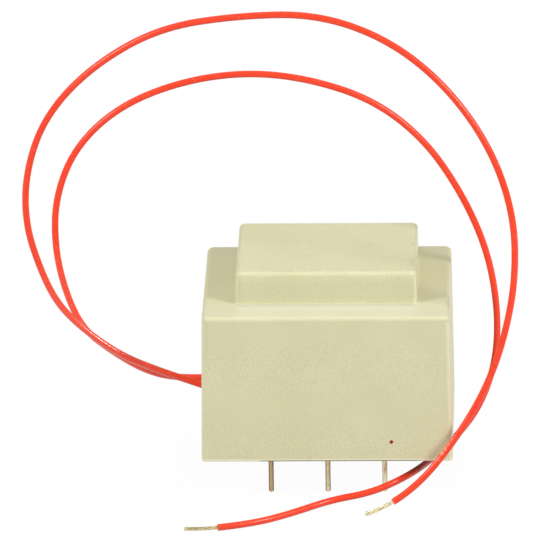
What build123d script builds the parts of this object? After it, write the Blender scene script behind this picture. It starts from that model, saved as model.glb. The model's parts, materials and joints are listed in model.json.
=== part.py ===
from build123d import *
import math
import os

# Isolation transformer for a printed circuit board: an EI core with a two-chamber coil, potted in a
# moulded case with a stepped top, on pins, with its primary on two flying leads.
# Millimetres and degrees. +Z is up, the printed front is towards -Y, and the origin is the middle of
# the seat, which is the plane of the case's lower rim.

# Core
core_leg = 7.0  # width of an outer leg, of the yoke and of a window
core_stack = 14.8  # height of the pile of laminations
core_hole = 3.5  # lamination hole, which the resin fills
core_clearance = 0.1  # core to case, at the top of the core

# Bobbin and windings
bobbin_clearance = 0.15  # bobbin to core, all round
tube_wall = 0.9
tube_radius = 0.8  # corner of the tube that the wire is wound on
flange_thickness = 0.8
flange_radius = 1.2
divider_thickness = 1.0
flange_proud = 1.0  # how far the flanges stand above the finished windings
tape_thickness = 0.3
winding_clearance = 0.05  # winding to flange
base_gap = 3.0  # seat to the underside of the bobbin

# Pins, rails and the joints on them
pin_diameter = 0.9
pin_length = 7.6  # below the seat
pin_tip = 0.3  # chamfer at the end of a pin
pin_pitch = 10.0
pin_row_inset = 3.75  # from the core's end to the row of pins
post_cover = 0.9  # bobbin left above the square top of a pin
rail_lip = 1.85  # rail beyond the row of pins
slot_width = 1.4  # wire slot in a rail
slot_offset = 1.7  # wire slot beside its pin
joint_radius = 0.95  # wraps and solder round a pin
joint_gap = 0.35  # joint to bobbin, and joint to the face of the resin
joint_edge = 0.3
wire_diameter = 0.4

# Case
case_wall = 0.6
case_draft = 0.8
shoulder_gap = 1.55  # core to the inside of the shoulder
top_gap = 0.6  # coil to the inside of the raised block
block_side_gap = 1.45
block_front_gap = 0.6
block_rear_gap = 3.4
block_draft = 1.2
edge_radii = (0.7, 1.4)  # upright corners of the case, at the rim and at the shoulder
block_edge_radii = (1.1, 1.1)  # upright corners of the raised block, at its root and at its top
inner_edge_radii = (0.3, 0.3)  # the same corners, inside
top_radius = 0.7  # upper edges
root_radius = 0.3  # where the block rises from the shoulder
rim_radius = 0.15
resin_recess = 0.5  # face of the resin above the seat

# Leads
lead_diameter = 1.2
conductor_diameter = 0.65
lead_pitch = 4.0
lead_drop = 1.85  # lead holes below the core
lead_hole_clearance = 0.2
plug_recess = 0.15  # outside of the wall to the resin in a lead hole
lead_straight = 3.0  # straight length of a lead inside the wall
bend_share = 0.45  # part of a run that a bend at one end of it may take

find_within = 0.01  # for picking out edges by their place

# Places that follow from the sizes above
core_half_x = 3 * core_leg
core_half_y = 2.5 * core_leg
window_half_y = 1.5 * core_leg
tube_half_x = core_leg + bobbin_clearance + tube_wall
tube_half_z = core_stack / 2 + bobbin_clearance + tube_wall
flange_half_x = 2 * core_leg - bobbin_clearance
chamber_depth = flange_half_x - tube_half_x
flange_half_z = tube_half_z + chamber_depth
bobbin_half_y = window_half_y - bobbin_clearance
winding_build = chamber_depth - flange_proud
primary_layer = winding_build - tape_thickness
secondary_layer = (winding_build - 2 * tape_thickness) / 2
winding_start = divider_thickness / 2 + winding_clearance
winding_end = bobbin_half_y - flange_thickness - winding_clearance

coil_z = base_gap + flange_half_z
core_bottom = coil_z - core_stack / 2
core_top = coil_z + core_stack / 2
shoulder_z = core_top + shoulder_gap + case_wall
top_z = coil_z + flange_half_z + top_gap + case_wall

draft_slope = math.tan(math.radians(case_draft))
case_half_x = core_half_x + core_clearance + case_wall + core_top * draft_slope
case_half_y = core_half_y + core_clearance + case_wall + core_top * draft_slope
block_half_x = flange_half_x + block_side_gap + case_wall
block_front = -(bobbin_half_y + block_front_gap + case_wall)
block_rear = bobbin_half_y + block_rear_gap + case_wall

pin_row = core_half_y - pin_row_inset
rail_top = core_bottom - bobbin_clearance
post_top = rail_top - post_cover
joint_z = (base_gap + resin_recess) / 2
joint_height = base_gap - resin_recess - 2 * joint_gap
slot_top = coil_z - tube_half_z - secondary_layer / 2 + slot_width / 2
lead_z = core_bottom - lead_drop
lead_wall_x = -case_half_x + lead_z * draft_slope

# Pin numbers and places. The even numbers are the front row.
pin_places = {
    "pin_1": (-pin_pitch, pin_row),
    "pin_5": (pin_pitch, pin_row),
    "pin_6": (-pin_pitch, -pin_row),
    "pin_8": (0.0, -pin_row),
    "pin_10": (pin_pitch, -pin_row),
}
# Places along X of the wire slots beside the pins, in the front row and in the rear row
front_slots = [-pin_pitch + slot_offset, -slot_offset, slot_offset, pin_pitch - slot_offset]
rear_slots = [-pin_pitch + slot_offset, pin_pitch - slot_offset]

# Routes of the free leads, from the wall of the case to the end of the insulation. They were chosen
# by eye: a springy arch that is held at the case and comes down on the surface that the pins stand on.
lead_1_route = [
    (-case_half_x, -lead_pitch / 2, lead_z),
    (-25.2, -2.0, 8.7),
    (-29.8, -2.2, 11.1),
    (-36.3, -2.5, 14.0),
    (-42.3, -2.9, 18.6),
    (-47.3, -3.4, 23.6),
    (-50.2, -3.8, 30.2),
    (-52.8, -4.4, 39.4),
    (-52.5, -4.9, 49.2),
    (-49.0, -5.5, 59.6),
    (-40.9, -6.3, 69.0),
    (-28.6, -7.4, 76.8),
    (-14.0, -8.6, 79.4),
    (-0.9, -9.8, 79.9),
    (11.0, -11.2, 75.9),
    (20.8, -12.7, 68.3),
    (28.6, -14.4, 57.7),
    (32.9, -16.1, 45.8),
    (33.3, -17.9, 34.1),
    (31.1, -19.3, 23.1),
    (27.6, -20.7, 13.9),
    (22.6, -22.0, 5.1),
    (15.8, -22.8, -3.4),
    (11.6, -23.5, -5.7),
]
lead_2_route = [
    (-case_half_x, lead_pitch / 2, lead_z),
    (-26.3, 2.1, 7.8),
    (-32.2, 2.3, 9.0),
    (-38.5, 2.5, 13.1),
    (-43.4, 2.7, 17.2),
    (-46.4, 3.0, 23.8),
    (-48.1, 3.3, 32.0),
    (-47.9, 3.7, 41.2),
    (-44.3, 4.1, 50.5),
    (-36.6, 4.6, 57.9),
    (-26.0, 5.1, 62.3),
    (-14.5, 5.5, 64.0),
    (-3.4, 5.9, 62.7),
    (8.2, 6.4, 58.5),
    (17.2, 6.8, 50.9),
    (23.7, 7.0, 40.7),
    (28.2, 7.0, 29.9),
    (30.0, 7.0, 18.6),
    (29.4, 6.6, 8.6),
    (26.3, 5.6, 0.5),
    (22.1, 3.0, -4.3),
    (18.1, -6.5, -4.7),
    (13.9, -16.4, -3.8),
    (7.6, -19.6, -5.3),
    (0.6, -20.0, -6.9),
    (-6.4, -25.7, -7.0),
    (-13.0, -30.3, -7.0),
    (-18.9, -32.0, -7.0),
]
lead_1_tip = (6.9, -25.0, -7.25)
lead_2_tip = (-24.7, -32.1, -7.2)


def bend_radii(points):
    """The largest radius that the two runs at each corner of a route leave room for."""
    radii = []
    for before, corner, after in zip(points, points[1:], points[2:]):
        run_in = Vector(corner) - Vector(before)
        run_out = Vector(after) - Vector(corner)
        half_turn = math.radians(run_in.get_angle(run_out)) / 2
        radii.append(bend_share * min(run_in.length, run_out.length) / math.tan(half_turn))
    return radii


def run_on(points, distance):
    """The point this far on from the end of a route, along its last run."""
    run = Vector(points[-1]) - Vector(points[-2])
    return tuple(Vector(points[-1]) + run.normalized() * distance)


def bare_route(points, tip):
    """The route of a bare end, from the end of the insulation to its tip."""
    half = (Vector(tip) - Vector(points[-1])).length / 2
    return [points[-1], run_on(points, half), tip]


def tube(points, diameter):
    """A round wire along straight runs joined by tangent arcs."""
    path = FilletPolyline(*points, radius=bend_radii(points))
    section = Plane(origin=path @ 0, z_dir=path % 0) * Circle(diameter / 2)
    return sweep(section, path=path), path.length


def report_lead(name, points, diameter, solid, length):
    """Prints a lead's bends, and its volume beside its section times its length."""
    radii = ", ".join(f"{radius:.1f}" for radius in bend_radii(points))
    expected = math.pi * diameter**2 / 4 * length
    print(f"{name}: length {length:.1f}, volume {solid.volume:.2f} of {expected:.2f}, radii {radii}")


def block_between(x, y, z):
    """A plain block between two limits on each axis."""
    size = Box(x[1] - x[0], y[1] - y[0], z[1] - z[0])
    return Pos((x[0] + x[1]) / 2, (y[0] + y[1]) / 2, (z[0] + z[1]) / 2) * size


def drafted_block(half_x, y, z, radii, draft):
    """A block that narrows towards its top, as a moulded form does, with a corner radius for each end."""
    middle_y = (y[0] + y[1]) / 2
    inset = (z[1] - z[0]) * math.tan(math.radians(draft))
    bottom = RectangleRounded(2 * half_x, y[1] - y[0], radii[0])
    top = RectangleRounded(2 * (half_x - inset), y[1] - y[0] - 2 * inset, radii[1])
    return loft([Pos(0, middle_y, z[0]) * bottom, Pos(0, middle_y, z[1]) * top], ruled=True)


def coil_ring(y, inner, outer):
    """A rounded ring round the bobbin's tube, between two heights above the tube."""
    plane = Plane(origin=(0, y[0], coil_z), x_dir=(1, 0, 0), z_dir=(0, 1, 0))
    outside = RectangleRounded(
        2 * (tube_half_x + outer), 2 * (tube_half_z + outer), tube_radius + outer
    )
    inside = RectangleRounded(
        2 * (tube_half_x + inner), 2 * (tube_half_z + inner), tube_radius + inner
    )
    return extrude(plane * (outside - inside), y[1] - y[0])


def make_case_cavity():
    """The space inside the case, up to the seat."""
    lower = drafted_block(
        case_half_x - case_wall,
        (-case_half_y + case_wall, case_half_y - case_wall),
        (0, shoulder_z - case_wall),
        inner_edge_radii,
        case_draft,
    )
    raised = drafted_block(
        block_half_x - case_wall,
        (block_front + case_wall, block_rear - case_wall),
        (shoulder_z - case_wall, top_z - case_wall),
        inner_edge_radii,
        block_draft,
    )
    return lower + raised


def make_case():
    """The moulded cup: a drafted box with a raised block, open below."""
    lower = drafted_block(
        case_half_x, (-case_half_y, case_half_y), (0, shoulder_z), edge_radii, case_draft
    )
    lower = fillet(lower.edges().group_by(Axis.Z)[-1], top_radius)
    lower = fillet(lower.edges().group_by(Axis.Z)[0], rim_radius)
    raised = drafted_block(
        block_half_x, (block_front, block_rear), (shoulder_z, top_z), block_edge_radii, block_draft
    )
    raised = fillet(raised.edges().group_by(Axis.Z)[-1], top_radius)
    body = lower + raised
    middle_y = (block_front + block_rear) / 2
    reach_y = (block_rear - block_front) / 2 + find_within
    root = [
        edge
        for edge in body.edges()
        if abs(edge.center().Z - shoulder_z) < find_within
        and abs(edge.center().X) < block_half_x + find_within
        and abs(edge.center().Y - middle_y) < reach_y
    ]
    body = fillet(root, root_radius)
    body -= make_case_cavity()
    return body - lead_hole_rods(-2 * case_wall)


def lead_hole_rods(start):
    """Two rods as thick as the lead holes, from this far inside the wall's outer face to well inside."""
    length = 2 * case_wall - start
    rod = Rot(0, 90, 0) * Cylinder(lead_diameter / 2 + lead_hole_clearance, length)
    middle_x = lead_wall_x + start + length / 2
    return [Pos(middle_x, side * lead_pitch / 2, lead_z) * rod for side in (-1, 1)]


def lamination_rods(y, diameter):
    """Two upright rods at the corners of one end of the core."""
    rod = Cylinder(diameter / 2, core_stack)
    place = core_half_x - core_leg / 2
    return Pos(-place, y, coil_z) * rod + Pos(place, y, coil_z) * rod


def make_core_e():
    """The E laminations: the yoke is at the rear, and the middle leg carries the coil."""
    blank = block_between(
        (-core_half_x, core_half_x), (-window_half_y, core_half_y), (core_bottom, core_top)
    )
    for side in (-1, 1):
        blank -= Pos(side * 1.5 * core_leg, 0, coil_z) * Box(core_leg, 2 * window_half_y, core_stack)
    return blank - lamination_rods(core_half_y - core_leg / 2, core_hole)


def make_core_i():
    """The I laminations, which close the windows at the front."""
    bar = block_between(
        (-core_half_x, core_half_x), (-core_half_y, -window_half_y), (core_bottom, core_top)
    )
    return bar - lamination_rods(-core_half_y + core_leg / 2, core_hole)


def make_bobbin():
    """Tube, two flanges, a divider and a slotted rail for each row of pins."""
    plane = Plane(origin=(0, -bobbin_half_y, coil_z), x_dir=(1, 0, 0), z_dir=(0, 1, 0))
    opening = Rectangle(2 * (core_leg + bobbin_clearance), core_stack + 2 * bobbin_clearance)
    tube_section = RectangleRounded(2 * tube_half_x, 2 * tube_half_z, tube_radius) - opening
    bobbin = extrude(plane * tube_section, 2 * bobbin_half_y)
    wall_section = RectangleRounded(2 * flange_half_x, 2 * flange_half_z, flange_radius) - opening
    walls = [
        (-bobbin_half_y, flange_thickness),
        (-divider_thickness / 2, divider_thickness),
        (bobbin_half_y - flange_thickness, flange_thickness),
    ]
    for start, thickness in walls:
        wall_plane = Plane(origin=(0, start, coil_z), x_dir=(1, 0, 0), z_dir=(0, 1, 0))
        bobbin += extrude(wall_plane * wall_section, thickness)
    for side, slots in ((-1, front_slots), (1, rear_slots)):
        ends = sorted((side * (bobbin_half_y - flange_thickness), side * (pin_row + rail_lip)))
        rail = block_between((-flange_half_x, flange_half_x), ends, (base_gap, rail_top))
        corners = rail.edges().filter_by(Axis.Z).group_by(SortBy.DISTANCE)[-1]
        bobbin += fillet(corners, flange_radius)
        for x in slots:
            cut = (x - slot_width / 2, x + slot_width / 2)
            bobbin -= block_between(cut, ends, (base_gap, slot_top))
    for x, y in pin_places.values():
        bobbin -= make_post(x, y, base_gap)
    return bobbin


def make_post(x, y, bottom):
    """The square top of a pin, which the wires are wrapped round."""
    half = pin_diameter / 2
    return block_between((x - half, x + half), (y - half, y + half), (bottom, post_top))


def make_pin(x, y):
    """A tinned pin: square in the bobbin and the resin, round below, with a chamfered tip."""
    length = pin_length + resin_recess
    leg = Pos(x, y, -pin_length + length / 2) * Cylinder(pin_diameter / 2, length)
    leg = chamfer(leg.edges().group_by(Axis.Z)[0], pin_tip)
    return leg + make_post(x, y, resin_recess)


def make_joint(x, y):
    """The wraps of wire and solder round a pin, without the pin."""
    barrel = Pos(x, y, joint_z) * Cylinder(joint_radius, joint_height)
    barrel = chamfer(barrel.edges().filter_by(GeomType.CIRCLE), joint_edge)
    return barrel - make_post(x, y, resin_recess)


def make_leadout(slot_x, pin, wire_z, joints):
    """A winding's end: through the slot in the rail, and down to the joint on its pin."""
    pin_x, pin_y = pin_places[pin]
    side = math.copysign(1, pin_y)
    route = [
        (slot_x, side * winding_end, wire_z),
        (slot_x, side * (bobbin_half_y + slot_width / 2), wire_z),
        (slot_x, pin_y - side * joint_radius / 2, joint_z + wire_diameter),
        (pin_x, pin_y, joint_z),
    ]
    wire, _ = tube(route, wire_diameter)
    kept = wire - make_post(pin_x, pin_y, 0) - joints[pin]
    return max(kept.solids(), key=lambda solid: solid.volume)


def layer_z(height):
    """Height of the underside of a layer that lies this far above the bobbin's tube."""
    return coil_z - tube_half_z - height


def make_tails(joints):
    """The leads inside the case: insulation up to near the rear pins, then bare conductor.

    The offsets in the two routes were chosen by eye. They lead the first tail down and across under
    the coil, and the second one back along the wall, each clear of the core and of the other.
    """
    lane_x = (flange_half_x + case_half_x - case_wall) / 2
    lane_y = pin_row - 4 * joint_radius
    lane_z = joint_z
    lead_y = lead_pitch / 2
    tail_1 = [
        lead_1_route[0],
        run_on(lead_1_route[1::-1], lead_straight),
        (-lane_x + 1.0, -lead_y + 1.4, lead_z - 2.0),
        (-lane_x + 2.4, lead_y, (lead_z + lane_z) / 2 - 1.4),
        (-flange_half_x + 1.4, lead_y + 3.0, lane_z + 0.1),
        (-pin_pitch + 1.5, lane_y - 0.9, lane_z),
        (-pin_pitch / 4, lane_y + 0.1, lane_z),
        (pin_pitch / 2, lane_y - 0.2, lane_z),
        (pin_pitch - 2.6, lane_y + 0.8, lane_z),
    ]
    tail_2 = [
        lead_2_route[0],
        run_on(lead_2_route[1::-1], lead_straight),
        (-lane_x + 0.6, lead_y + 2.6, lead_z - 0.6),
        (-lane_x + 1.0, (lead_y + pin_row) / 2, (lead_z + lane_z) / 2 + 0.8),
        (-lane_x + 0.9, pin_row - 2.4, lane_z + 0.5),
        (-flange_half_x - 0.7, pin_row - 0.7, lane_z),
    ]
    insulated = []
    conductors = []
    for route, pin in ((tail_1, "pin_5"), (tail_2, "pin_1")):
        insulated.append(tube(route, lead_diameter)[0])
        pin_x, pin_y = pin_places[pin]
        bare = [route[-1], run_on(route, joint_radius), (pin_x, pin_y, lane_z)]
        wire, _ = tube(bare, conductor_diameter)
        kept = wire - make_post(pin_x, pin_y, 0) - joints[pin]
        conductors.append(max(kept.solids(), key=lambda solid: solid.volume))
    return insulated, conductors


def make_resin(buried):
    """The potting: the case's inside and the lead holes, less what they hold."""
    full = make_case_cavity() + lead_hole_rods(plug_recess)
    wide_x = (-case_half_x, case_half_x)
    wide_y = (-case_half_y, case_half_y)
    full -= block_between(wide_x, wide_y, (0, resin_recess))
    core_slab = block_between(wide_x, wide_y, (core_bottom, core_top))
    for y in (-core_half_y + core_leg / 2, core_half_y - core_leg / 2):
        core_slab -= lamination_rods(y, core_hole)
    full -= core_slab
    coil_x = (-2 * core_leg, 2 * core_leg)
    full -= block_between(coil_x, (-window_half_y, window_half_y), (base_gap, coil_z + flange_half_z))
    rail_y = pin_row + rail_lip
    rail_x = (-flange_half_x, flange_half_x)
    full -= block_between(rail_x, (-rail_y, rail_y), (base_gap, core_bottom))
    for piece in buried:
        full -= piece
    return full


joints = {pin: make_joint(*place) for pin, place in pin_places.items()}
pins = {pin: make_pin(*place) for pin, place in pin_places.items()}

inner_z = layer_z(secondary_layer / 2)
outer_z = layer_z(1.5 * secondary_layer + tape_thickness)
secondary_leadouts = [
    make_leadout(front_slots[0], "pin_6", inner_z, joints),
    make_leadout(front_slots[1], "pin_8", inner_z, joints),
    make_leadout(front_slots[2], "pin_8", outer_z, joints),
    make_leadout(front_slots[3], "pin_10", outer_z, joints),
]
primary_z = layer_z(primary_layer / 2)
primary_leadouts = [
    make_leadout(rear_slots[0], "pin_1", primary_z, joints),
    make_leadout(rear_slots[1], "pin_5", primary_z, joints),
]
(lead_1_tail, lead_2_tail), tail_conductors = make_tails(joints)
buried = [
    *joints.values(),
    *pins.values(),
    *secondary_leadouts,
    *primary_leadouts,
    lead_1_tail,
    lead_2_tail,
    *tail_conductors,
]

front = (-winding_end, -winding_start)
rear = (winding_start, winding_end)
barrier = secondary_layer + tape_thickness
nodes = {
    "case": make_case(),
    "potting_fill": make_resin(buried),
    "core_e_stack": make_core_e(),
    "core_i_stack": make_core_i(),
    "bobbin": make_bobbin(),
    "primary_winding": coil_ring(rear, 0, primary_layer),
    "primary_tape": coil_ring(rear, primary_layer, winding_build),
    "secondary_winding_a": coil_ring(front, 0, secondary_layer),
    "secondary_barrier_tape": coil_ring(front, secondary_layer, barrier),
    "secondary_winding_b": coil_ring(front, barrier, barrier + secondary_layer),
    "secondary_tape": coil_ring(front, barrier + secondary_layer, winding_build),
    **pins,
    "solder_joints": Compound(children=list(joints.values())),
    "primary_leadouts": Compound(children=primary_leadouts),
    "secondary_leadouts": Compound(children=secondary_leadouts),
    "lead_1_tail": lead_1_tail,
    "lead_2_tail": lead_2_tail,
    "tail_conductors": Compound(children=tail_conductors),
}
for name, route, diameter in (
    ("lead_1", lead_1_route, lead_diameter),
    ("lead_2", lead_2_route, lead_diameter),
    ("lead_1_end", bare_route(lead_1_route, lead_1_tip), conductor_diameter),
    ("lead_2_end", bare_route(lead_2_route, lead_2_tip), conductor_diameter),
):
    nodes[name], length = tube(route, diameter)
    report_lead(name, route, diameter, nodes[name], length)

os.makedirs("parts", exist_ok=True)
for name, shape in nodes.items():
    export_step(shape, f"parts/{name}.step")
print(f"case {2 * case_half_x:.2f} by {2 * case_half_y:.2f}, shoulder {shoulder_z:.2f}, top {top_z:.2f}")
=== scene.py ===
# %% [markdown]
# # A potted isolation transformer, from CAD solids to a finished picture
#
# The object is a small mains transformer for a circuit board. A cream moulded case holds a steel
# core and a coil in resin, pins stand out below, and two red flying leads carry the primary. The
# solids come from CAD with their real sizes, so this lesson leaves them where they are. It dresses
# them: a camera and two lamps, a finish for every piece, and the parts that CAD leaves plain, which
# are the soft line of the leads and the twisted strands at their ends.

import json
import math

import bpy
from mathutils import Matrix, Vector


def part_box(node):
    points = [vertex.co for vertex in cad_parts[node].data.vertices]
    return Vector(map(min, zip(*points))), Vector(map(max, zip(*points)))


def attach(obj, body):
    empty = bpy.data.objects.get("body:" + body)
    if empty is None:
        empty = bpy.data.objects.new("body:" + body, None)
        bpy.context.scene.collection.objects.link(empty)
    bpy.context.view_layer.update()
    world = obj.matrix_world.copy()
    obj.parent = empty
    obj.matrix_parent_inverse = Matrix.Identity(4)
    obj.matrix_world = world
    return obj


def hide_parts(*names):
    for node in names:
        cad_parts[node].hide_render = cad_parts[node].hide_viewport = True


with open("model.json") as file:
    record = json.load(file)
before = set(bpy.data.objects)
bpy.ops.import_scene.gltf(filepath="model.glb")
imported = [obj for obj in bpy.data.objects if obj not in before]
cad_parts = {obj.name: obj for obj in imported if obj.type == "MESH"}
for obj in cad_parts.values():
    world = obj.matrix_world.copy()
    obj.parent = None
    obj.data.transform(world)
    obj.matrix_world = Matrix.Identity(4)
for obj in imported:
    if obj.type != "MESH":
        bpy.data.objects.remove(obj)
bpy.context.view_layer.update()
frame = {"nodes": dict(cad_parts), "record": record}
MM = 0.001
print("nodes:", len(frame["nodes"]))

# %% [markdown]
# ## The camera
#
# A product picture like this one is taken from well back with a long lens, so that upright edges
# stay almost parallel. A camera could be placed by eye, but the case is a box of known size, so its
# corners in a picture fix where the camera stood: a little to the right, about 20 degrees up, and
# tipped by almost one degree. The matrix is built from those angles, because a Track To constraint
# can't hold the tip.

# %% Set up the camera
camera_yaw = 0.0311
camera_pitch = 0.3566
camera_roll = -0.0152
camera_distance = 1.76173
camera_target = Vector((-10.098, 0.0, 28.974)) * MM
focal_pixels = 10000
picture_pixels = 540

back = Vector(
    (
        math.sin(camera_yaw) * math.cos(camera_pitch),
        -math.cos(camera_yaw) * math.cos(camera_pitch),
        math.sin(camera_pitch),
    )
)
level_right = Vector((math.cos(camera_yaw), math.sin(camera_yaw), 0))
level_up = back.cross(level_right)
right = math.cos(camera_roll) * level_right + math.sin(camera_roll) * level_up
up = back.cross(right)
camera_data = bpy.data.cameras.new("camera")
camera_data.lens = focal_pixels * camera_data.sensor_width / picture_pixels
camera_data.clip_start = 0.05
camera = bpy.data.objects.new("camera", camera_data)
camera.matrix_world = Matrix.Translation(camera_target + back * camera_distance) @ Matrix(
    (right, up, back)
).transposed().to_4x4()
bpy.context.scene.collection.objects.link(camera)
bpy.context.scene.camera = camera
bpy.context.scene.view_settings.view_transform = "Standard"
print("lens", round(camera_data.lens, 1), "mm")
print("camera at", [round(c, 3) for c in camera.matrix_world.translation])

# %% [markdown]
# ## Shader sums as Python sums
#
# A finish is a graph of nodes, and a graph is slow to write out link by link. This class holds one
# socket and lets Python's own operators work on it, so that `1 - mask` or `x * x + z * z` adds the
# Math nodes and joins them. Every other kind of node comes from `add`, which takes the node's type,
# its settings and what goes into its sockets.


# %% Wrap a socket
class Signal:
    """An output socket in a node tree. Operators on it add Math nodes."""

    def __init__(self, tree, socket=None):
        self.tree = tree
        self.socket = socket

    def add(self, kind, settings=None, inputs=None, output=0):
        """Adds a node of any type, with its settings first and then its inputs."""
        node = self.tree.nodes.new(kind)
        for name, value in (settings or {}).items():
            setattr(node, name, value)
        for name, value in (inputs or {}).items():
            if isinstance(value, Signal):
                self.tree.links.new(value.socket, node.inputs[name])
            else:
                node.inputs[name].default_value = value
        return Signal(self.tree, node.outputs[output])

    def math(self, operation, *others):
        """This signal put through a Math node, with any further values after it."""
        return self.add("ShaderNodeMath", {"operation": operation}, dict(enumerate((self, *others))))

    def __add__(self, other):
        return self.math("ADD", other)

    def __sub__(self, other):
        return self.math("SUBTRACT", other)

    def __rsub__(self, other):
        return self.add("ShaderNodeMath", {"operation": "SUBTRACT"}, {0: other, 1: self})

    def __mul__(self, other):
        return self.math("MULTIPLY", other)

    def __truediv__(self, other):
        return self.math("DIVIDE", other)

    def __rtruediv__(self, other):
        return self.add("ShaderNodeMath", {"operation": "DIVIDE"}, {0: other, 1: self})

    def __pow__(self, other):
        return self.math("POWER", other)

    def __lt__(self, other):
        return self.math("LESS_THAN", other)

    def __gt__(self, other):
        return self.math("GREATER_THAN", other)

    __radd__ = __add__
    __rmul__ = __mul__

    def ramp(self, low, high):
        """Rises smoothly from 0 to 1 between two values."""
        limits = {"Value": self, "From Min": low, "From Max": high}
        return self.add("ShaderNodeMapRange", {"interpolation_type": "SMOOTHSTEP"}, limits)

    def mix(self, first, second):
        """The first colour where this signal is 0, and the second where it is 1."""
        return self.add("ShaderNodeMix", {"data_type": "RGBA"}, {0: self, 6: first, 7: second}, 2)

    def noise(self, size, detail=2.0):
        """Noise on this position signal, with lumps of about this size in metres."""
        inputs = {"Vector": self, "Scale": 1 / size, "Detail": detail}
        return self.add("ShaderNodeTexNoise", None, inputs)

    def split(self):
        """The X, Y and Z of this position signal."""
        return [self.add("ShaderNodeSeparateXYZ", None, {0: self}, axis) for axis in range(3)]

    def bump(self, distance, strength):
        """A surface normal for this height signal, whose full rise is a distance in metres."""
        inputs = {"Strength": strength, "Distance": distance, "Height": self}
        return self.add("ShaderNodeBump", None, inputs)


print("a signal can:", [name for name in vars(Signal) if not name.startswith("_")])

# %% [markdown]
# ## How a finish starts
#
# Every finish below starts in the same way. A new material gets its plain values, such as how much
# it mirrors, on the shader's own sockets. Then it gets the position on the object's own
# coordinates, so that a pattern stays in place on the piece. The node editor could do this by hand
# for each finish, but a function can't forget a step. Colours are given as a picture stores them,
# from 0 to 255, and turned into amounts of light.


# %% Write the helpers
def colour(red, green, blue):
    """A colour as a picture stores it, turned into the linear values that shaders use."""
    linear = [((c / 255 + 0.055) / 1.055) ** 2.4 for c in (red, green, blue)]
    return (*linear, 1.0)


def new_finish(name, **constants):
    """A material with its shader's plain values set, the shader, and the position on the object."""
    material = bpy.data.materials.new(name)
    material.use_nodes = True
    shader = material.node_tree.nodes["Principled BSDF"]
    for socket, value in constants.items():
        shader.inputs[socket.replace("_", " ")].default_value = value
    place = Signal(material.node_tree).add("ShaderNodeTexCoord", output="Object")
    return material, shader, place


def feed(shader, **signals):
    """Joins signals to a shader's sockets."""
    for socket, signal in signals.items():
        signal.tree.links.new(signal.socket, shader.inputs[socket.replace("_", " ")])


print("cream in linear values:", [round(c, 3) for c in colour(215, 210, 170)])

# %% [markdown]
# ## The floor
#
# The transformer stands on its pins on a plain white table. More light would make a grey floor
# white, but it would wash out the object too. So the floor is a mix: a lit surface that keeps the
# shadow, and a large share of plain white that only some rays meet. Light Path tells those rays
# apart. The camera sees the white, and so do rays off metal or through glass, while the light that
# falls on the object stays plain.


# %% Lay the floor
def seen_rays(signal):
    """1 for the rays that show a surface: from the camera, off a shine, or through glass."""
    rays = [
        signal.add("ShaderNodeLightPath", output=ray)
        for ray in ("Is Camera Ray", "Is Glossy Ray", "Is Transmission Ray")
    ]
    return sum(rays).math("MINIMUM", 1.0)


floor_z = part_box("pin_8")[0][2]
floor_width = 6.0
floor_grey = (0.5, 0.5, 0.5, 1)
white_strength = 1.03
white_share = 0.94

bpy.ops.mesh.primitive_plane_add(size=floor_width, location=(0, 0, floor_z))
floor = bpy.context.object
floor.name = "floor"
floor_finish, floor_shader, floor_place = new_finish(
    "white_table", Base_Color=floor_grey, Roughness=0.9, Specular_IOR_Level=0.1
)
glow = {"Color": (1, 1, 1, 1), "Strength": white_strength}
white = floor_place.add("ShaderNodeEmission", None, glow)
lit = Signal(floor_place.tree, floor_shader.outputs[0])
blend = {0: seen_rays(floor_place) * white_share, 1: lit, 2: white}
table = floor_place.add("ShaderNodeMixShader", None, blend)
surface = floor_place.tree.nodes["Material Output"].inputs["Surface"]
floor_place.tree.links.new(table.socket, surface)
floor.data.materials.append(floor_finish)
print("floor at", round(floor_z / MM, 2), "mm")

# %% [markdown]
# ## The light
#
# Small products are often lit by a lamp at each side, well round and a third of the way up. One
# large lamp in front would light this case just as well, but flatly. From the sides the light
# crosses over the raised block, and the block shades the shoulder at its left and right with a
# slanting edge, which tells the eye how deep the step is. Compact round lamps keep that edge
# readable. The room is a plain grey that gets paler towards the ceiling, so that upper faces come
# out lighter than upright ones.

# %% Light the scene
room_low = (0.22, 0.22, 0.22, 1)
room_high = (0.72, 0.72, 0.72, 1)
lamp_distance = 0.6
lamp_size = 0.16
lamp_target = Vector((0, 0, 15 * MM))
lamps = {"lamp_left": (-59, 33, 1.62), "lamp_right": (58, 33, 2.0)}

world = bpy.data.worlds.new("studio")
world.use_nodes = True
bpy.context.scene.world = world
view_height = Signal(world.node_tree).add("ShaderNodeTexCoord", output="Generated").split()[2]
room = view_height.ramp(0.0, 0.9).mix(room_low, room_high)
feed(world.node_tree.nodes["Background"], Color=room)
for name, (azimuth, height, energy) in lamps.items():
    lamp_data = bpy.data.lights.new(name, "AREA")
    lamp_data.shape = "DISK"
    lamp_data.size = lamp_size
    lamp_data.energy = energy
    lamp = bpy.data.objects.new(name, lamp_data)
    around = math.radians(azimuth)
    above = math.radians(height)
    reach = math.cos(above)
    toward = Vector((math.sin(around) * reach, -math.cos(around) * reach, math.sin(above)))
    lamp.location = toward * lamp_distance + lamp_target
    lamp.rotation_euler = toward.to_track_quat("Z", "Y").to_euler()
    bpy.context.scene.collection.objects.link(lamp)
print("lamps, with degrees round, degrees up and watts:", lamps)

# %% [markdown]
# ## Cream case plastic
#
# The case is a thermoplastic moulding. Its tool was spark-eroded, so the skin is finely grained and
# dull, and the filler in the plastic gives a fine mottle. A wide noise and a fine one make the
# mottle, and a third leans it a little to green or to red. A picture texture could hold all this,
# but noise on the object's own coordinates needs no unwrapping and has no seams at the edges.

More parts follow.
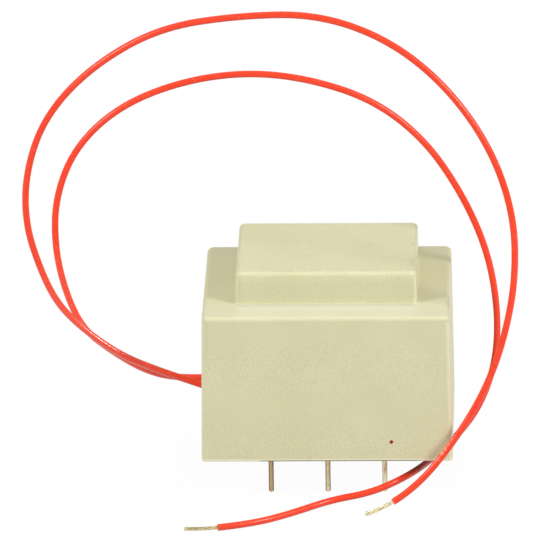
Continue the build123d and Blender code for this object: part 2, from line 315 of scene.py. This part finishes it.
# %% Mix the case plastic
case_plastic, case_shader, place = new_finish("case_plastic", Specular_IOR_Level=0.4)
x, y, z = place.split()
wide_mottle = place.noise(9 * MM, 3).ramp(0.3, 0.7)
fine_mottle = place.noise(0.2 * MM, 2).ramp(0.3, 0.7)
mottle = wide_mottle * 0.2 + fine_mottle * 0.8
tint = place.noise(0.35 * MM, 2).ramp(0.35, 0.65)
greener = mottle.mix(colour(204, 204, 163), colour(220, 220, 184))
redder = mottle.mix(colour(210, 204, 160), colour(226, 220, 181))
cream = tint.mix(greener, redder)
print("cream mottle:", len(case_plastic.node_tree.nodes), "nodes")

# %% [markdown]
# ## Marks on the case
#
# A handled moulding isn't clean. This one has a red check dot low on its front and a tan speck near
# the right end of its top. A long faint tan streak is also painted beside the speck. They could be
# small discs laid on the surface, but these marks have no thickness to model, so each one is a
# distance from a point, turned into a mask. Noise added to the distance makes its edge uneven.


# %% Mark the case
def spot(place, across, along, at, radius, stretch=1):
    """1 inside a small round or long mark with an uneven edge, in two of the coordinates."""
    off_across = across - at[0] * MM
    off_along = (along - at[1] * MM) / stretch
    wander = place.noise(0.3 * MM) * (0.3 * radius * MM)
    distance = (off_across**2 + off_along**2).math("SQRT")
    return 1 - (distance + wander).ramp(0.8 * radius * MM, 1.2 * radius * MM)


on_front = y < -17 * MM
on_top = z > 32 * MM
red_dot = spot(place, x, z, (11.3, 3.6), 0.4)
cream = (red_dot * on_front).mix(cream, colour(150, 10, 4))
speck = spot(place, x, y, (15.1, 2.8), 0.3)
# a long faint tan streak on the block's top near its right edge
tan_streak = spot(place, x, y, (15.0, -6.4), 0.22, stretch=10)
cream = ((speck * 0.45 + tan_streak * 0.16) * on_top).mix(cream, colour(150, 120, 70))
print("with its marks:", len(case_plastic.node_tree.nodes), "nodes")

# %% [markdown]
# ## Pale rim, painted highlights and painted shade
#
# A pale band runs along the rim. The upright front edges of the case and the block, and the block's
# right side, are painted paler, as painted highlights, more strongly on the right. Below the pale
# rim, a thin dark line along the front of the seat is painted shade. An edge finder could place
# these tones, but the case's sizes are known, so plain bands in the coordinates put them exactly
# where they belong.


# %% Paint the pale rim, the edge highlights and the rim shade
def edge_highlight_band(half_width, lean, rear, foot):
    """A narrow band along a form's two upright front edges, which lean in above its foot."""
    off_line = (x.math("ABSOLUTE") + (z - foot) * lean - half_width).math("ABSOLUTE")
    return (1 - off_line.ramp(0.1 * MM, 0.45 * MM)) * (y < rear) * (z > foot)


# a pale band along the rim
pale_rim_band = 1 - z.ramp(0.3 * MM, 0.6 * MM)
# painted highlights along the upright front edges of the case and the block, and on the block's
# right side, stronger on the right
case_highlight_band = edge_highlight_band(half_width=21.65 * MM, lean=0.0136, rear=-17.2 * MM, foot=0.0)
painted_case_edge_highlight = case_highlight_band * (z < 25.6 * MM)
painted_block_edge_highlight = edge_highlight_band(half_width=15.55 * MM, lean=0.0209, rear=-10.6 * MM, foot=26.9 * MM)
painted_block_side_light = x.ramp(15.5 * MM, 15.8 * MM) * (z > 27.1 * MM)
case_highlight_share = 0.2 + 0.2 * (x > 0)
pale_rim_and_highlights = pale_rim_band * 0.8 + painted_case_edge_highlight * case_highlight_share + painted_block_edge_highlight * 0.2 + painted_block_side_light * 0.2
# mixes the pale rim band and the painted highlights into the cream
cream = pale_rim_and_highlights.mix(cream, colour(240, 236, 206))
# painted shade: a thin dark line along the front, just below the pale rim
rim_shade_span = x.ramp(-12.2 * MM, -11.2 * MM) * (1 - x.ramp(15.5 * MM, 17 * MM)) * on_front
painted_rim_shade = (1 - z.ramp(0.12 * MM, 0.26 * MM)) * rim_shade_span
cream = (painted_rim_shade * 0.95).mix(cream, colour(60, 52, 36))
# the count covers the pale rim, the painted highlights and the painted rim shade
print("with its rubbed edges:", len(case_plastic.node_tree.nodes), "nodes")

# %% [markdown]
# ## Painted light and shade on the step
#
# The step along the front of the shoulder is painted paler, as painted light, most of all where it
# runs before the raised block. The block's root is soft, so next to the root the step is painted
# darker, as painted shade, and the pale tone starts a little way out from it. The block's own front
# is painted a shade duller than the top, also as painted shade. A rounder root could be modelled,
# but a tone that fades over a millimetre or two looks the same from here and leaves the CAD shape
# alone.

# %% Paint light and shade on the step
shoulder = 26.8 * MM
shoulder_margin = 0.15 * MM
block_front = -11.5 * MM
ahead = block_front - y
on_shoulder = (z > shoulder - shoulder_margin) * (z < shoulder + shoulder_margin)
on_step = on_shoulder * (ahead > 0)
before_block = 1 - x.math("ABSOLUTE").ramp(15 * MM, 16.5 * MM)
# painted light: the step paler, most of all before the block
painted_step_light = 0.12 + before_block * (0.38 - 0.25 * ahead.ramp(1.5 * MM, 4 * MM))
cream = (on_step * painted_step_light).mix(cream, colour(222, 223, 215))
# painted shade: the step darker next to the block's root
painted_root_shade = on_step * before_block * (1 - ahead.ramp(0.2 * MM, 1.7 * MM))
cream = (painted_root_shade * 0.55).mix(cream, colour(186, 182, 146))
# painted shade: the block's front a shade duller than its top
block_shade_height = z.ramp(27.2 * MM, 28.2 * MM) * (1 - z.ramp(30.2 * MM, 32 * MM))
painted_block_front_shade = (ahead > -0.3 * MM) * block_shade_height
cream = (painted_block_front_shade * 0.42).mix(cream, colour(196, 195, 166))
print("with its step:", len(case_plastic.node_tree.nodes), "nodes")

# %% [markdown]
# ## The case's grain
#
# The spark-eroded skin scatters a highlight instead of mirroring the lamp. Real grain is far finer
# than a pixel, but a bump at about that size still breaks the light up. Modelling it as mesh would
# take millions of faces. The roughness follows the mottle, because the filler's grains are duller
# than the plastic round them.

# %% Grain the case
grain = place.noise(0.16 * MM, 2)
feed(
    case_shader,
    Base_Color=cream,
    Roughness=0.36 + mottle * 0.12,
    Normal=grain.bump(0.02 * MM, 0.35),
)
print("case plastic:", len(case_plastic.node_tree.nodes), "nodes")

# %% [markdown]
# ## Potting resin
#
# The case is a cup, filled upside down with resin that sets level just below the rim. It shows from
# below, cloudy and dull, with pits where air bubbles broke the surface. The pits could be cut into
# the mesh, but there are hundreds and they are shallow. A Voronoi texture has one point in each
# cell, and its distance from that point is a ready-made pit for a bump.

# %% Cast the resin
potting_resin, shader, place = new_finish("potting_resin")
cloud = place.noise(4 * MM, 4).ramp(0.3, 0.7)
bubble_spacing = 1.6 * MM
cells = {"Vector": place, "Scale": 1 / bubble_spacing}
pits = place.add("ShaderNodeTexVoronoi", None, cells, "Distance").ramp(0.05, 0.16)
feed(
    shader,
    Base_Color=cloud.mix(colour(176, 168, 140), colour(190, 183, 156)),
    Roughness=0.4 + cloud * 0.2,
    Normal=pits.bump(0.06 * MM, 0.6),
)
print("resin:", potting_resin.name)

# %% [markdown]
# ## Core steel
#
# The pieces inside are out of sight once the case is potted, but a reader who opens the model
# should still know them. The core is a stack of E and I sheets, half a millimetre thick. Nearly
# sixty solids would show every joint and slow every view. Instead, the fraction of the height over
# one sheet's thickness repeats from sheet to sheet, and a dark line goes where it wraps round.

# %% Stack the core steel
core_steel, shader, place = new_finish("core_steel", Metallic=0.85)
sheet_thickness = 0.5 * MM
height = place.split()[2]
through_sheet = (height / sheet_thickness).math("FRACT")
joint = through_sheet.ramp(0.8, 0.97) + (1 - through_sheet.ramp(0.03, 0.2))
tarnish = place.noise(2.5 * MM, 4)
steel = tarnish.mix(colour(118, 120, 124), colour(150, 150, 150))
feed(
    shader,
    Base_Color=(joint * 0.6).mix(steel, colour(52, 50, 48)),
    Roughness=0.38 + tarnish * 0.25,
    Normal=(1 - joint).bump(0.04 * MM, 0.6),
)
print("core steel:", core_steel.name)

# %% [markdown]
# ## Bobbin plastic
#
# The bobbin that carries the coil is black nylon with glass fibres. The fibres show as grey flecks
# under the skin. A single dark colour would look like paint, so a fine noise mixes two blacks and
# lifts the flecks very slightly.

# %% Mould the bobbin
bobbin_plastic, shader, place = new_finish("bobbin_plastic")
fleck = place.noise(0.4 * MM, 3).ramp(0.35, 0.75)
feed(
    shader,
    Base_Color=fleck.mix(colour(34, 34, 37), colour(58, 57, 58)),
    Roughness=0.45 + fleck * 0.15,
    Normal=fleck.bump(0.015 * MM, 0.4),
)
print("bobbin:", bobbin_plastic.name)

# %% [markdown]
# ## Enamelled copper
#
# Each winding is hundreds of turns of varnished wire, and CAD keeps it as one ring. Winding every
# turn as a curve would be true to life but far too heavy for a piece that nobody sees whole. The
# turns lie side by side along the bobbin, so the fraction of that length over one wire's width
# makes a rounded crown for each turn. A clear coat stands for the varnish.

# %% Wind the copper
enamelled_wire, shader, place = new_finish("enamelled_wire", Metallic=0.9, Coat_Weight=0.5)
wire_width = 0.28 * MM
along_bobbin = place.split()[1]
turn = (along_bobbin / wire_width).math("FRACT") - 0.5
crown = 1 - turn**2 * 4
stain = place.noise(3 * MM, 3)
feed(
    shader,
    Base_Color=stain.mix(colour(150, 72, 38), colour(196, 108, 62)),
    Roughness=0.22 + stain * 0.15,
    Normal=crown.bump(0.1 * MM, 0.8),
)
print("enamelled wire:", enamelled_wire.name)

# %% [markdown]
# ## Yellow tape
#
# Polyester film tape holds each winding down and keeps the windings apart. It is glossy and never
# lies quite flat. Cloth simulation could wrinkle it, but a wide noise in the bump and the roughness
# gives the same uneven shine.

# %% Wrap the tape
tape, shader, place = new_finish("tape", Coat_Weight=0.2)
wrinkle = place.noise(2.2 * MM, 3)
feed(
    shader,
    Base_Color=wrinkle.mix(colour(214, 168, 48), colour(232, 194, 84)),
    Roughness=0.2 + wrinkle * 0.2,
    Normal=wrinkle.bump(0.08 * MM, 0.4),
)
print("tape:", tape.name)

# %% [markdown]
# ## Tinned wire
#
# The pins and the stripped lead ends are copper wire with a coat of tin. Drawing leaves streaks
# along a pin, handling dulls the tin, and copper shows through in patches, most of all on the left
# pin. The right pin and the lead end near it are the cleanest. The flanks of the pins are painted
# darker, as painted shade.
# Each piece could have a finish of its own, but one serves them all, because their places on the
# object tell them apart.

# %% Tin the pins
pin_pitch = 10 * MM
tinned_wire, shader, place = new_finish("tinned_wire", Metallic=1.0)
x, y = place.split()[:2]
on_pins = y > -15 * MM
drawn_out = {"Vector": place, "Scale": (1, 1, 0.15)}
streak_place = place.add("ShaderNodeMapping", None, drawn_out)
streak = 0.5 + (streak_place.noise(0.18 * MM, 3) - 0.5) * on_pins
dull = place.noise(0.9 * MM, 3).ramp(0.35, 0.7)
tin = (streak * 0.5 + dull * 0.5).mix(colour(200, 185, 136), colour(243, 233, 190))
copper_stain = place.noise(1.3 * MM, 2).ramp(0.55, 0.72)
tin = (copper_stain * 0.5).mix(tin, colour(176, 138, 92))
worn_pin = (x < -5 * MM) * on_pins
tin = (worn_pin * 0.6).mix(tin, colour(170, 130, 84))
clean = x > 5 * MM
tin = (clean * (0.72 - on_pins * 0.22)).mix(tin, colour(252, 244, 208))
off_axis = ((x / pin_pitch + 0.5).math("FRACT") - 0.5).math("ABSOLUTE") * pin_pitch
# painted shade: the flanks of each pin darker
painted_flank_shade = off_axis.ramp(0.2 * MM, 0.34 * MM) * on_pins * (0.9 - clean * 0.5)
feed(
    shader,
    Base_Color=painted_flank_shade.mix(tin, colour(92, 83, 60)),
    Roughness=0.3 + dull * 0.22,
    Normal=streak.bump(0.02 * MM, 0.5),
)
print("tinned wire:", tinned_wire.name)

# %% [markdown]
# ## Solder
#
# Inside the case, each wire end is wrapped round its pin and soldered. Solder freezes with a
# rippled, greyer shine than tin, so it gets a finish of its own rather than a share of the pin's.

# %% Run the solder
solder, shader, place = new_finish("solder", Metallic=1.0)
ripple = place.noise(0.6 * MM, 3)
feed(
    shader,
    Base_Color=ripple.mix(colour(150, 150, 152), colour(190, 190, 188)),
    Roughness=0.25 + ripple * 0.25,
    Normal=ripple.bump(0.05 * MM, 0.5),
)
print("solder:", solder.name)

# %% [markdown]
# ## Red lead insulation
#
# The leads are stranded wire in soft extruded insulation. The skin is smooth and a little waxy, so
# it takes a soft highlight along its length. A mirror-like red would show a hard white line all the
# way, so the skin is kept satin, with faint unevenness and small scuffs. A row of pale marks on one
# lead, near the case's right front corner, is a painted highlight. The low run at the left was
# handled least and keeps more of its gloss, which a thin clear coat stands for. Where a lead passes
# under the case, its colour is darkened as painted shade.

# %% Colour the insulation
# painted highlight: a row of pale marks on lead 1 near the case's right front corner
glint_radius = 0.42
glint_strengths = {
    (19.47, 1.4): 0.35,
    (20.13, 2.45): 1.0,
    (20.67, 3.2): 0.9,
    (21.21, 4.0): 0.6,
    (21.8, 4.85): 0.35,
}
lead_insulation, shader, place = new_finish(
    "lead_insulation", Specular_IOR_Level=0.4, Coat_Roughness=0.17
)
x, y, z = place.split()
handled = place.noise(3.5 * MM, 1)
scuff = place.noise(0.5 * MM, 3).ramp(0.55, 0.85)
# the painted highlight marks
painted_glints = sum(
    spot(place, x, z, at, glint_radius) * strength for at, strength in glint_strengths.items()
)
red = handled.mix(colour(248, 56, 20), colour(255, 70, 34))
# painted shade: the leads darkened where they run under the case
under_case = y.ramp(-15.5 * MM, -11.5 * MM) * (z < -2.5 * MM)
painted_under_case_shade = under_case * place.noise(0.35 * MM, 2).ramp(0.2, 0.6)
red = (painted_under_case_shade * 0.75).mix(red, colour(64, 14, 8))
low_left = (1 - x.ramp(-34 * MM, -22 * MM)) * (1 - z.ramp(20 * MM, 36 * MM))
feed(
    shader,
    Base_Color=(scuff * 0.4 + painted_glints * 0.9).mix(red, colour(255, 150, 115)),
    Roughness=0.32 + scuff * 0.08,
    Coat_Weight=0.1 + low_left * 0.9,
    Normal=handled.bump(0.03 * MM, 0.1),
)
print("insulation:", lead_insulation.name)

# %% [markdown]
# ## Dress the solids
#
# Each CAD node already names a slot in the record, and every slot now has a finish of the same
# name. The finishes could be given out one by one, but a table from slot to finish reaches every
# node in one loop and can't miss one. The nodes keep their meshes, and only their material changes.

# %% Give every node its finish
finishes = {
    "case_plastic": case_plastic,
    "potting_resin": potting_resin,
    "core_steel": core_steel,
    "bobbin_plastic": bobbin_plastic,
    "enamelled_wire": enamelled_wire,
    "tape": tape,
    "tinned_wire": tinned_wire,
    "solder": solder,
    "lead_insulation": lead_insulation,
}
for subpart in frame["record"]["subparts"]:
    node = frame["nodes"][subpart["node"]]
    node.data.materials.clear()
    node.data.materials.append(finishes[subpart["material_slot"]])

# %% [markdown]
# ## The flying leads
#
# The primary comes out on two springy leads that rise in wide arches and come down to the table.
# CAD lays each lead along straight runs and arcs, and that looks like bent rod. Insulated wire has
# a springier line, so nearly the same points become the control points of a NURBS curve, which
# glides between them. A few points, near the left wall and round the right front corner, are moved
# a little to where the real leads pass. The first point is at the hole in the case, and the last is
# where the insulation was stripped.

# %% Lay out the routes
lead_diameter = 1.2 * MM
lead_routes = {
    "lead_1": [
        (-22.044, -2.0, 8.0),
        (-25.2, -2.0, 9.15),
        (-29.8, -2.2, 10.9),
        (-36.4, -2.5, 13.85),
        (-42.4, -2.9, 18.45),
        (-47.3, -3.4, 23.65),
        (-50.25, -3.8, 30.2),
        (-52.8, -4.4, 39.4),
        (-52.5, -4.9, 49.2),
        (-49.0, -5.5, 59.6),
        (-40.9, -6.3, 69.0),
        (-28.6, -7.4, 76.8),
        (-14.0, -8.6, 79.4),
        (-0.9, -9.8, 79.9),
        (11.0, -11.2, 75.9),
        (20.8, -12.7, 68.3),
        (28.6, -14.4, 57.7),
        (32.9, -16.1, 45.8),
        (33.3, -17.9, 34.1),
        (31.2, -18.6, 22.8),
        (27.75, -18.7, 13.1),
        (22.5, -20.0, 4.48),
        (15.72, -21.6, -3.73),
        (11.6, -23.5, -5.7),
    ],
    "lead_2": [
        (-22.044, 2.0, 8.0),
        (-26.3, 2.1, 7.8),
        (-32.2, 2.3, 9.0),
        (-38.6, 2.5, 12.95),
        (-43.5, 2.7, 17.05),
        (-46.4, 3.0, 23.8),
        (-48.1, 3.3, 32.0),
        (-47.9, 3.7, 41.2),
        (-44.3, 4.1, 50.5),
        (-36.6, 4.6, 57.9),
        (-26.0, 5.1, 62.3),
        (-14.5, 5.5, 64.0),
        (-3.4, 5.9, 62.7),
        (8.2, 6.4, 58.5),
        (17.2, 6.8, 50.9),
        (23.7, 7.0, 40.7),
        (28.2, 7.0, 29.9),
        (30.0, 7.0, 18.6),
        (29.5, 6.6, 8.6),
        (26.45, 5.6, 0.5),
        (22.1, 3.0, -4.3),
        (18.1, -6.5, -4.5),
        (13.9, -16.4, -3.8),
        (7.6, -19.6, -5.55),
        (0.6, -20.0, -6.7),
        (-6.4, -25.7, -7.0),
        (-13.0, -30.3, -7.0),
        (-18.9, -32.0, -7.0),
    ],
}
print("points:", {name: len(route) for name, route in lead_routes.items()})

# %% [markdown]
# ## Insulation on the routes
#
# A swept mesh could follow each route, but a curve object with a round bevel stays a line that can
# be laid again, and its section is true all the way. Each curve stands in for the plain solid of
# its lead.


# %% Draw the leads
def add_line(data, points):
    """Adds a smooth line to a curve, guided by points in metres."""
    line = data.splines.new("NURBS")
    line.points.add(len(points) - 1)
    for target, point in zip(line.points, points):
        target.co = (*point, 1)
    line.order_u = 3
    line.use_endpoint_u = True


def new_curve(name, depth):
    """An empty round-sectioned curve of this radius."""
    data = bpy.data.curves.new(name, "CURVE")
    data.dimensions = "3D"
    data.resolution_u = 10
    data.bevel_depth = depth
    data.bevel_resolution = 6
    data.use_fill_caps = True
    return data


leads = {}
for name, route in lead_routes.items():
    data = new_curve(name + "_insulation", lead_diameter / 2)
    add_line(data, [Vector(point) * MM for point in route])
    data.materials.append(lead_insulation)
    leads[name] = bpy.data.objects.new(name + "_insulation", data)
    bpy.context.scene.collection.objects.link(leads[name])
    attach(leads[name], "root")
    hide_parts(name)
print("leads:", list(leads))

# %% [markdown]
# ## Stripped ends
#
# Under the insulation are seven thin tinned strands with a lazy twist. A plain rod would do from
# far away, but the ends lie in the foreground. The middle strand follows the end's own smooth line,
# and the other six wind round it. On one lead they spread a little towards the tip.

# %% Shape one strand
outer_strands = 6
strand_radius = 0.115 * MM
strand_circle = 0.225 * MM
strand_turns = 0.5
strand_spread = {"lead_1": 0.35, "lead_2": 0.0}
end_overlap = 0.2
lead_tips = {"lead_1": (6.8, -25.5, -7.17), "lead_2": (-24.7, -32.1, -7.2)}


def mesh_of(data):
    """The mesh that a curve makes, without keeping an object for the curve."""
    holder = bpy.data.objects.new("guide", data)
    bpy.context.scene.collection.objects.link(holder)
    bpy.context.view_layer.update()
    depsgraph = bpy.context.evaluated_depsgraph_get()
    mesh = bpy.data.meshes.new_from_object(holder.evaluated_get(depsgraph))
    bpy.data.objects.remove(holder)
    return mesh


def read_line(points):
    """Points along the smooth line that is guided by these points."""
    data = new_curve("guide", 0.0)
    add_line(data, points)
    data.splines[0].resolution_u = 24
    mesh = mesh_of(data)
    line = [vertex.co.copy() for vertex in mesh.vertices]
    bpy.data.meshes.remove(mesh)
    return line


def wind(line, first_turn, spread):
    """A strand that winds round a line from this part of a turn, and spreads towards its tip."""
    wound = []
    last = len(line) - 1
    for step, point in enumerate(line):
        share = step / last
        onward = line[min(step + 1, last)] - line[max(step - 1, 0)]
        side = onward.cross(Vector((0, 0, 1))).normalized()
        over = side.cross(onward).normalized()
        angle = 2 * math.pi * (first_turn + strand_turns * share)
        reach = strand_circle * (1 + spread * share)
        wound.append(point + reach * (math.cos(angle) * side + math.sin(angle) * over))
    return wound


print("strands in an end:", 1 + outer_strands)

# %% [markdown]
# ## Bundles of strands
#
# Each end starts inside its insulation, so that no gap can show, and bends from the lead's last
# direction to its tip. Each strand could be an object of its own, but tin holds them together, so
# an end is drawn as one curve and kept as one mesh.

# %% Twist the strands
strands = {}
for name, route in lead_routes.items():
    before = Vector(route[-2]) * MM
    start = Vector(route[-1]) * MM
    tip = Vector(lead_tips[name]) * MM
    onward = (start - before).normalized() * (tip - start).length / 2
    line = read_line([start - onward * end_overlap, start + onward, tip])
    data = new_curve(name + "_strands", strand_radius)
    data.bevel_resolution = 3
    add_line(data, line)
    for strand in range(outer_strands):
        add_line(data, wind(line, strand / outer_strands, strand_spread[name]))
    mesh = mesh_of(data)
    mesh.materials.clear()
    mesh.materials.append(tinned_wire)
    strands[name] = bpy.data.objects.new(name + "_strands", mesh)
    bpy.context.scene.collection.objects.link(strands[name])
    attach(strands[name], "root")
    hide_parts(name + "_end")
    print(name, "strands:", len(mesh.polygons), "faces")
